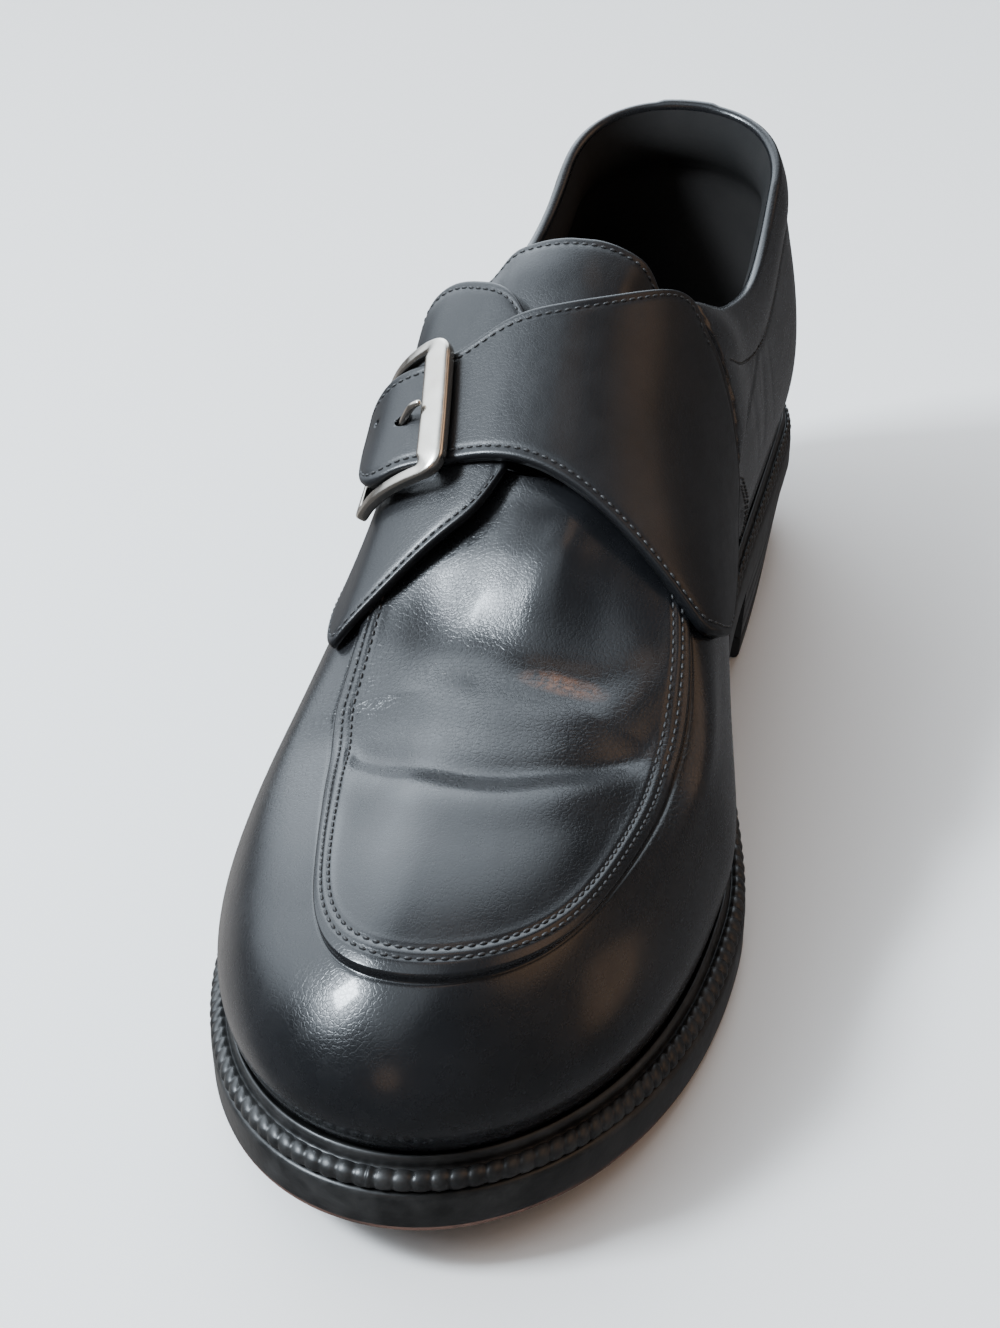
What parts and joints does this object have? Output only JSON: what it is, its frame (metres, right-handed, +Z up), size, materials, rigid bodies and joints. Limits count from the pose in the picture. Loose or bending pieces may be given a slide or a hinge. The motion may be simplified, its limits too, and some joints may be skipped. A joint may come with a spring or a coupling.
{
  "type": "monk strap loafer",
  "caption": "Low black leather shoe with a moccasin apron, an instep strap fastened by a side buckle, a ribbed welt and a low heel",
  "frame": {"origin": "centre of the bounding box on the floor the shoe stands on", "axes": "+Z up, -Y to the toe, +X to the medial side, -X to the lateral side with the buckle"},
  "size_m": [0.105, 0.305, 0.1162],
  "materials": {
    "upper_leather": "smooth satin-gloss black leather with fine grain",
    "panel_leather": "smooth satin-gloss black leather with stitched edges",
    "lining_leather": "matte black leather",
    "sole_rubber": "satin black",
    "heel_rubber": "matte black",
    "buckle_metal": "satin nickel"
  },
  "bodies": {
    "root": {"upper": "upper_leather", "tongue": "panel_leather", "buckle_flap": "panel_leather", "strap": "panel_leather", "insole": "lining_leather", "outsole": "sole_rubber", "welt": "sole_rubber", "heel": "sole_rubber", "heel_top_lift": "heel_rubber", "buckle_frame": "buckle_metal", "buckle_prong": "buckle_metal"}
  },
  "joints": []
}
